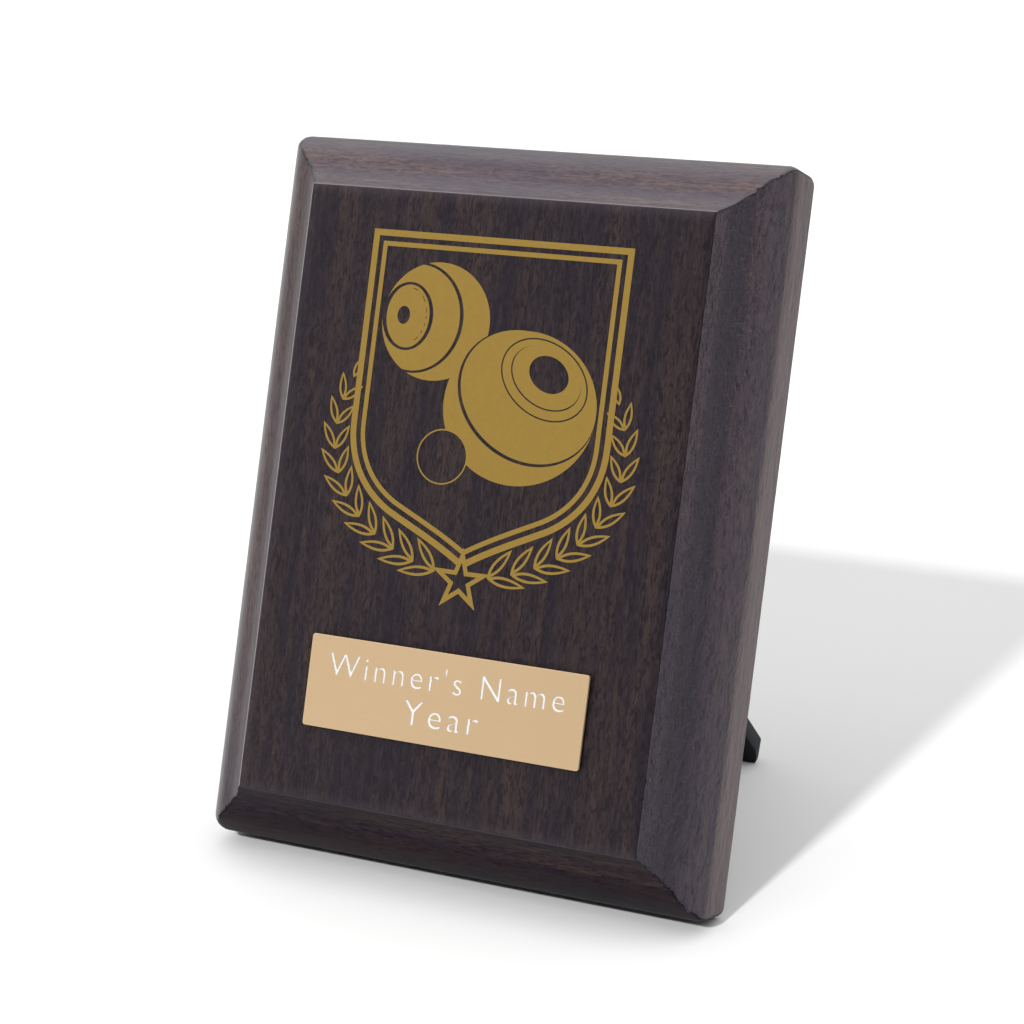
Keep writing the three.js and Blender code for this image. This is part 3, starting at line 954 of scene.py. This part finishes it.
def grown(thing, graph, identifiers, values):
    # the plain mesh that a node tree makes of a thing, with these sizes
    modifier = thing.modifiers.new("nodes", "NODES")
    modifier.node_group = graph.tree
    for key, value in values.items():
        modifier[identifiers[key]] = value
    bpy.context.view_layer.update()
    seen = bpy.context.evaluated_depsgraph_get()
    mesh = bpy.data.meshes.new_from_object(thing.evaluated_get(seen))
    drop(thing)
    return mesh


def leafShape(graph, given, inset):
    # a lens with pointed ends, a little fuller towards its foot
    circle = graph.node("GeometryNodeCurvePrimitiveCircle", {"mode": "RADIUS"},
                        {"Resolution": 32, "Radius": 1.0})
    x, y, _ = graph.parts(graph.node("GeometryNodeInputPosition"))
    back = inset * 1.9
    along = (x + 1) * 0.5 * (given["leafLength"] - 2 * back) + back
    aside = y * y.size() * (1 - 0.22 * x) * (given["leafWidth"] * 0.5 - inset)
    spot = graph.vector(along, aside, 0.0)
    return graph.node("GeometryNodeSetPosition", {}, {"Geometry": circle, "Position": spot})


def laurelTree():
    graph, given, identifiers = geometryTree("laurel", laurel)
    whole = leafShape(graph, given, 0)
    inner = leafShape(graph, given, given["leafLine"])
    flat = graph.node("GeometryNodeFillCurve", {"mode": "TRIANGLES"}, {0: join(graph, whole, inner)})
    raised = graph.node("GeometryNodeExtrudeMesh", {"mode": "FACES"},
                        {"Mesh": flat, "Offset Scale": given["film"], "Individual": False})
    under = graph.node("GeometryNodeFlipFaces", {}, {0: flat})
    leaf = graph.node("GeometryNodeMergeByDistance", {},
                      {0: join(graph, raised, under), "Distance": 1e-4})

    evenly = graph.node("GeometryNodeResampleCurve", {"mode": "COUNT"},
                        {"Curve": given["Geometry"], "Count": given["pairs"] + 1})
    factor = graph.node("GeometryNodeSplineParameter", {}, {}, "Factor")
    tangent = graph.node("GeometryNodeInputTangent")
    along = graph.node("FunctionNodeAlignRotationToVector", {"axis": "X"}, {"Vector": tangent})
    index = graph.node("GeometryNodeInputIndex")
    last = graph.node("FunctionNodeCompare", {"data_type": "INT", "operation": "EQUAL"},
                      {2: index, 3: given["pairs"]})
    paired = graph.node("FunctionNodeBooleanMath", {"operation": "NOT"}, {0: last})
    size = 1 + given["growth"] * (1 - factor)

    def leaves(selection, splay, length):
        spin = graph.vector(0.0, 0.0, splay * (math.pi / 180))
        turn = graph.node("FunctionNodeEulerToRotation", {}, {0: spin})
        aimed = graph.node("FunctionNodeRotateRotation", {"rotation_space": "LOCAL"}, {0: along, 1: turn})
        scale = graph.vector(size * length, size ** 0.5, 1.0)
        return graph.node("GeometryNodeInstanceOnPoints", {}, {
            "Points": evenly, "Selection": selection, "Instance": leaf, "Rotation": aimed, "Scale": scale,
        })

    outer = leaves(paired, given["outerSplay"], 1.0)
    inward = leaves(paired, given["innerSplay"], given["innerLength"])
    tip = leaves(last, 0.0, given["tipLength"])
    branch = graph.node("GeometryNodeRealizeInstances", {}, {0: join(graph, outer, inward, tip)})
    # the other branch is its mirror image
    other = graph.node("GeometryNodeTransform", {}, {"Geometry": branch, "Scale": (-1, 1, 1)})
    other = graph.node("GeometryNodeFlipFaces", {}, {0: other})
    closeTree(graph, join(graph, branch, other), "gold")
    return graph, identifiers


def stemCurve():
    # from the foot of the branch, beside the star, up past the shoulder of the shield
    stem = bpy.data.curves.new("stem", "CURVE")
    stem.dimensions = "3D"
    spline = stem.splines.new("POLY")
    path = bezier((-3.9, -8.9), (-13.5, -6.9), (-20.6, -1.2), (-21.55, 7.0), 24)
    path += bezier((-21.55, 7.0), (-21.9, 10.4), (-21.2, 13.6), (-19.9, 16.2), 12)[1:]
    spline.points.add(len(path) - 1)
    for point, (x, y) in zip(spline.points, path):
        point.co = (x, y, 0, 1)
    return loose("stem", stem)


graph, identifiers = laurelTree()
leafMesh = grown(stemCurve(), graph, identifiers, laurel)
for vertex in leafMesh.vertices:
    vertex.co.z += ink["gap"]
printed(loose("print", leafMesh), "print_laurel")
print("laurel grown:", len(leafMesh.polygons), "faces")


# Engraving plate
plate = {
    "width": 41.6,
    "height": 12.8,
    "thickness": 0.5,
    "corner": 0.4,
    "bevel": 0.07,
    "rise": 10.2,        # from the lower edge of the face
    "lift": 0.35,        # its back stands this far off the face
    "depth": 0.14,       # of the engraving
    "letterSpace": 1.22,
    "letterThin": 0.012,
    # each line of words, its width, the height of its capitals and its baseline from the middle
    "words": (("Winner's Name", 35.4, 3.35, 0.95), ("Year", 11.2, 3.35, -4.05)),
}
plateMiddle = plate["rise"] + plate["height"] / 2 - faceHeight / 2


def roundedOutline(width, height, radius, steps=6):
    points = []
    for corner, (x, y) in enumerate(((1, 1), (-1, 1), (-1, -1), (1, -1))):
        for i in range(steps + 1):
            angle = math.pi / 2 * (corner + i / steps)
            points.append((x * (width / 2 - radius) + radius * math.cos(angle),
                           y * (height / 2 - radius) + radius * math.sin(angle)))
    return points


def wordCutter(words, width, capital, base, front):
    text = bpy.data.curves.new("words", "FONT")
    text.body = words
    text.align_x = "CENTER"
    text.size = 1
    text.space_character = plate["letterSpace"]
    text.offset = -plate["letterThin"]
    text.resolution_u = 6
    text.extrude = 0.5
    thing = loose("words", text)
    bpy.context.view_layer.update()
    seen = bpy.context.evaluated_depsgraph_get()
    mesh = bpy.data.meshes.new_from_object(thing.evaluated_get(seen))
    drop(thing)
    xs = [vertex.co.x for vertex in mesh.vertices]
    wide = width / (max(xs) - min(xs))
    tall = capital / max(vertex.co.y for vertex in mesh.vertices)
    middle = (max(xs) + min(xs)) / 2
    for vertex in mesh.vertices:
        vertex.co = ((vertex.co.x - middle) * wide, vertex.co.y * tall + base,
                     front - plate["depth"] + (vertex.co.z + 0.5) * 2)
    return mesh


def engravingPlate():
    low, high = 0, plate["thickness"]
    sheet = slab(roundedOutline(plate["width"], plate["height"], plate["corner"]), low, high)
    thing = loose("plate", tidied(sheet))
    ease(thing, plate["bevel"], 50)
    applied(thing)
    flat = thing.data
    drop(thing)
    cutters = [("DIFFERENCE", wordCutter(*word, high)) for word in plate["words"]]
    thing = combine(flat, *cutters)
    work = bmesh.new()
    work.from_mesh(thing.data)
    bmesh.ops.remove_doubles(work, verts=work.verts, dist=1e-4)
    bmesh.ops.triangulate(work, faces=work.faces)
    work.to_mesh(thing.data)
    work.free()
    mesh = thing.data
    mesh.materials.clear()
    mesh.materials.append(finishes["plate"])
    mesh.materials.append(finishes["cut"])
    inX, inY = plate["width"] / 2 - 1, plate["height"] / 2 - 1
    for face in mesh.polygons:
        x, y, z = face.center
        inside = abs(x) < inX and abs(y) < inY      # the letters, not the eased rim
        face.material_index = 1 if inside and low + 0.01 < z < high - 0.005 else 0
    mesh.transform(Matrix.Translation((0, plateMiddle, plate["lift"])))
    mesh.transform(printFrame)
    mesh.shade_smooth()
    mesh.set_sharp_from_angle(angle=math.radians(20))
    thing.name = mesh.name = "engraved_plate"
    return thing


setPiece(engravingPlate(), "board", None, ["engraving_plate"])
print("plate engraved")


# Strut, hinge and back: the CAD shapes with eased edges
def easedCopy(nodeName, name, body, finish, width):
    # width of the bevel in mm
    mesh = nodes[nodeName].data.copy()
    work = bmesh.new()
    work.from_mesh(mesh)
    bmesh.ops.remove_doubles(work, verts=work.verts, dist=2e-6)
    bmesh.ops.dissolve_limit(work, angle_limit=math.radians(0.6), verts=work.verts, edges=work.edges)
    bmesh.ops.recalc_face_normals(work, faces=work.faces)
    work.to_mesh(mesh)
    work.free()
    thing = loose(name, mesh)
    ease(thing, width * mm, 35)
    applied(thing)
    thing.data.name = name
    thing.data.shade_smooth()
    thing.data.set_sharp_from_angle(angle=math.radians(40))
    return setPiece(thing, body, finish, [nodeName])


easedCopy("strut_leg", "strut_board", "strut", "strut", 0.25)
easedCopy("hinge_leg_leaf", "hinge_leaf_leg", "strut", "steel", 0.1)
easedCopy("hinge_board_leaf", "hinge_leaf_board", "board", "steel", 0.1)
easedCopy("hinge_pin", "hinge_pin_bar", "board", "bright", 0.15)
easedCopy("back_sheet", "back_cover", "board", "back", 0.05)
print("strut and hinge eased")


# Screws and rivets
hinge = frame["record"]["behaviour"]["joints"][0]
openTurn = Matrix.Rotation(math.radians(-hinge["range_deg"][0]), 4, "X")
pinFrame = Matrix.Translation(Vector(hinge["pos_m"])) @ axes @ Matrix.Scale(mm, 4)
strutFrame = pinFrame @ openTurn
outward = Matrix.Rotation(-math.pi / 2, 4, "X")      # turns a fastener's own z to the back

screw = {
    "spacing": 15.0,
    "rise": 5.8,         # above the pin
    "seat": -1.15,       # under side of the head, from the pin towards the board
    "tip": -11.15,
    "shank": 0.9,
    "head": 1.9,
    "headHeight": 1.0,
    "slotLength": 2.3,
    "slotWidth": 0.42,
    "slotDepth": 0.6,
    "seed": 4,
}
rivet = {
    "spacing": 12.0,
    "rise": -9.0,        # below the pin, along the open leg
    "seat": 2.15,
    "tip": -1.65,
    "shank": 1.1,
    "head": 2.1,
    "headHeight": 0.8,
    "flare": 0.6,        # how far its other end is spread
    "seed": 9,
}


def turned(profile, sides=40):
    # a closed round solid from (radius, height) pairs, with both ends on its axis
    points, rings = [], []
    for radius, height in profile:
        if radius == 0:
            rings.append([len(points)])
            points.append((0, 0, height))
            continue
        rings.append(list(range(len(points), len(points) + sides)))
        turns = [2 * math.pi * i / sides for i in range(sides)]
        points += [(radius * math.cos(turn), radius * math.sin(turn), height) for turn in turns]
    faces = []
    for lower, upper in zip(rings, rings[1:]):
        for i in range(sides):
            j = (i + 1) % sides
            quad = [lower[i % len(lower)], lower[j % len(lower)]]
            quad += [upper[j % len(upper)], upper[i % len(upper)]]
            faces.append(tuple(dict.fromkeys(quad)))
    return tidied(meshOf("turned", points, faces))


def domed(radius, height, seat, squareness=2.6, steps=8):
    # a head with an upright rim a quarter of its height, then the dome
    rim, power = 0.25, 2 / squareness
    rounds = []
    for i in range(steps + 1):
        angle = math.pi / 2 * i / steps
        lift = rim * height + (1 - rim) * height * math.sin(angle) ** power
        rounds.append((radius * math.cos(angle) ** power, seat + lift))
    rounds[-1] = (0, rounds[-1][1])
    return [(0.97 * radius, seat), (radius, seat + 0.06)] + rounds


def screwMesh():
    shank, tip, seat = screw["shank"], screw["tip"], screw["seat"]
    stem = [(0, tip), (shank, tip + 2 * shank), (shank, seat)]
    body = turned(stem + domed(screw["head"], screw["headHeight"], seat))
    long, wide = screw["slotLength"] / 2, screw["slotWidth"] / 2
    top = seat + screw["headHeight"]
    cross = []
    arm = [(wide, wide), (wide, long), (-wide, long)]
    for quarter in range(4):
        cross += arm
        arm = [(-y, x) for x, y in arm]
    return combine(body, ("DIFFERENCE", slab(cross, top - screw["slotDepth"], top + 1)))


def rivetMesh():
    shank, tip, seat, flare = rivet["shank"], rivet["tip"], rivet["seat"], rivet["flare"]
    wide, soft = shank + flare, 0.08
    stem = [(0, tip), (wide - soft, tip), (wide, tip + soft), (shank, tip + flare), (shank, seat)]
    return loose("rivet", turned(stem + domed(rivet["head"], rivet["headHeight"], seat, 2.1)))


def pairTree(name, sizes, finish):
    # the same fastener at both ends of a line, each turned its own way
    graph, given, identifiers = geometryTree(name, {"spacing": sizes["spacing"], "seed": sizes["seed"]})
    line = graph.node("GeometryNodeMeshLine", {"mode": "END_POINTS"}, {
        "Count": 2,
        "Start Location": graph.vector(given["spacing"] * -0.5, 0.0, 0.0),
        "Offset": graph.vector(given["spacing"] * 0.5, 0.0, 0.0),
    })
    turn = graph.node("FunctionNodeRandomValue", {"data_type": "FLOAT"},
                      {2: 0.0, 3: 6.28, "ID": graph.node("GeometryNodeInputIndex"), "Seed": given["seed"]}, 1)
    spots = graph.node("GeometryNodeInstanceOnPoints", {}, {
        "Points": line, "Instance": given["Geometry"], "Rotation": graph.vector(0.0, 0.0, turn)})
    closeTree(graph, spots, finish)
    return graph, identifiers


def fastenerPair(thing, name, sizes, frameHere, body, stands):
    graph, identifiers = pairTree(name, sizes, "bright")
    mesh = grown(thing, graph, identifiers, {"spacing": sizes["spacing"], "seed": sizes["seed"]})
    tidied(mesh, 1e-4, 30)
    mesh.transform(frameHere @ Matrix.Translation((0, 0, sizes["rise"])) @ outward)
    mesh.name = name
    setPiece(loose(name, mesh), body, "bright", stands)


fastenerPair(screwMesh(), "hinge_screws", screw, pinFrame, "board",
             ["hinge_screw_left", "hinge_screw_right"])
fastenerPair(rivetMesh(), "leg_rivets", rivet, strutFrame, "strut",
             ["leg_rivet_left", "leg_rivet_right"])
print("fasteners placed")


# Materials on the nodes that stay as they are
for slotHere in nodes["plate_adhesive"].material_slots:
    slotHere.material = finishes["tape"]


# Camera, light and floor
view = {
    "azimuth": 24.38,
    "elevation": 16.42,
    "lens": 84.375,
    "distance": 0.3232,
    "aside": 0.00647,    # what it looks at, from the middle of the face
    "rise": 0.00045,
}


def towards(azimuth, elevation):
    turn, tilt = math.radians(azimuth), math.radians(elevation)
    return Vector((math.sin(turn) * math.cos(tilt), -math.cos(turn) * math.cos(tilt), math.sin(tilt)))


target = faceMiddle + Vector((view["aside"], 0, view["rise"]))
away = towards(view["azimuth"], view["elevation"])
cameraData = bpy.data.cameras.new("camera")
cameraData.lens = view["lens"]
cameraData.sensor_width = 36
cameraData.clip_start = 0.01
camera = bpy.data.objects.new("camera", cameraData)
scene.collection.objects.link(camera)
camera.location = target + away * view["distance"]
camera.rotation_euler = (-away).to_track_quat("-Z", "Y").to_euler()
scene.camera = camera

light = {
    "sides": 0.9,        # brightness of the surroundings
    "right": 0.52,       # behind on the right
    "front": 0.09,       # the dark room behind the camera
    "above": 1.9,
    "key": 3.8,
    "keyAzimuth": -7.4,
    "keyHeight": 35.0,
    "keySpread": 4.0,
    "floor": 0.58,       # how pale the floor is
    "floorReach": 4,     # half its side, in metres
}
world = bpy.data.worlds.new("studio")
world.use_nodes = True
scene.world = world
studio = Graph(world.node_tree)
direction = studio.node("ShaderNodeTexCoord", {}, {}, "Generated")
east, north, high = studio.parts(direction)
towardsFront = east * 0.3 + north * -0.95 + high * 0.1
# each ramp fades from the brightness of the sides to that of its own direction
strength = (studio.ramp(towardsFront, 0.46, 0.8) * (light["front"] - light["sides"]) + light["sides"]
            + studio.ramp(east, -0.1, 0.5) * studio.ramp(north, 0.2, 0.7) * (light["right"] - light["sides"])
            + studio.ramp(high, 0.4, 0.85) * (light["above"] - light["sides"]))
background = world.node_tree.nodes["Background"]
background.inputs["Color"].default_value = (1, 1, 1, 1)
world.node_tree.links.new(strength.socket, background.inputs["Strength"])
away = towards(light["keyAzimuth"], light["keyHeight"])
keyData = bpy.data.lights.new("key", "SUN")
keyData.energy = light["key"]
keyData.angle = math.radians(light["keySpread"])
key = bpy.data.objects.new("key", keyData)
scene.collection.objects.link(key)
key.location = target + away
key.rotation_euler = (-away).to_track_quat("-Z", "Y").to_euler()
key.visible_glossy = False
scene.view_settings.view_transform = "Standard"

reach = light["floorReach"]
floorCorners = [(-reach, -reach, 0), (reach, -reach, 0), (reach, reach, 0), (-reach, reach, 0)]
floorMesh = meshOf("floor", floorCorners, [(0, 1, 2, 3)])
floor = loose("floor", floorMesh)
paper = Finish("studio_floor")
grainy = paper.noise(paper.place((30, 30, 30), flat=False), 1.0, 2, 0.5)
clean, dusty = light["floor"], light["floor"] - 0.01
tone = paper.mix(grainy, paper.colour(clean, clean, clean), paper.colour(dusty, dusty, dusty))
floorMesh.materials.append(paper.finish(Base_Color=tone, Roughness=0.9, Specular_IOR_Level=0.1))
print("stage set")
